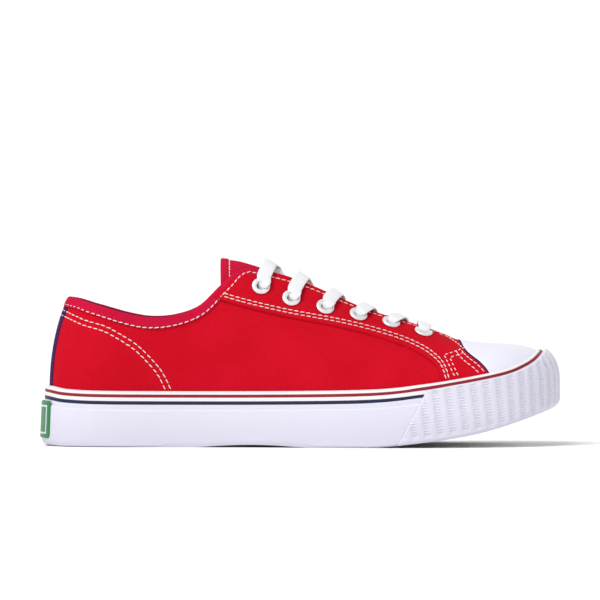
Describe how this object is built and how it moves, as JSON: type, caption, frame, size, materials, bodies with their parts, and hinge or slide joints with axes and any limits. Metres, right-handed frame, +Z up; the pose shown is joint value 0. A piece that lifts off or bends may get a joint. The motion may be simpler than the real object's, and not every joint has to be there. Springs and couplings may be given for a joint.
{
  "type": "canvas sneaker",
  "caption": "Low lace-up canvas shoe with a rubber side band, ribbed toe bumper, smooth toe cap and flat lace, empty and standing on its sole.",
  "frame": {"origin": "middle of the bottom of the bounding box, on the floor under the shoe", "axes": "+X from heel to toe, +Z up, +Y to the inner (medial) side; the outer side faces -Y"},
  "size_m": [0.295, 0.1084, 0.1057],
  "materials": {
    "canvas": "plain woven cotton canvas, matt",
    "binding": "folded cotton tape, matt",
    "tongue_cloth": "cotton canvas with bound edge",
    "stay_tape": "woven tape",
    "lace": "flat braided cotton",
    "lining": "cotton cloth over foam",
    "white_rubber": "moulded, satin",
    "cap_rubber": "smooth, satin",
    "outsole_rubber": "moulded tread, matt",
    "label_rubber": "moulded, satin",
    "eyelet_metal": "white-silver enamel"
  },
  "bodies": {
    "root": {"outsole": "outsole_rubber", "foxing": "white_rubber", "toe_bumper": "white_rubber", "heel_label": "label_rubber", "upper": "canvas", "toe_cap": "cap_rubber", "eyestay": "canvas", "back_stay": "stay_tape", "collar_binding": "binding", "tongue": "tongue_cloth", "insole": "lining", "eyelet_lateral_1": "eyelet_metal", "eyelet_lateral_2": "eyelet_metal", "eyelet_lateral_3": "eyelet_metal", "eyelet_lateral_4": "eyelet_metal", "eyelet_lateral_5": "eyelet_metal", "eyelet_lateral_6": "eyelet_metal", "eyelet_medial_1": "eyelet_metal", "eyelet_medial_2": "eyelet_metal", "eyelet_medial_3": "eyelet_metal", "eyelet_medial_4": "eyelet_metal", "eyelet_medial_5": "eyelet_metal", "eyelet_medial_6": "eyelet_metal", "lace_crossing_1": "lace", "lace_crossing_2": "lace", "lace_crossing_3": "lace", "lace_crossing_4": "lace", "lace_crossing_5": "lace", "lace_bar": "lace"}
  },
  "joints": []
}
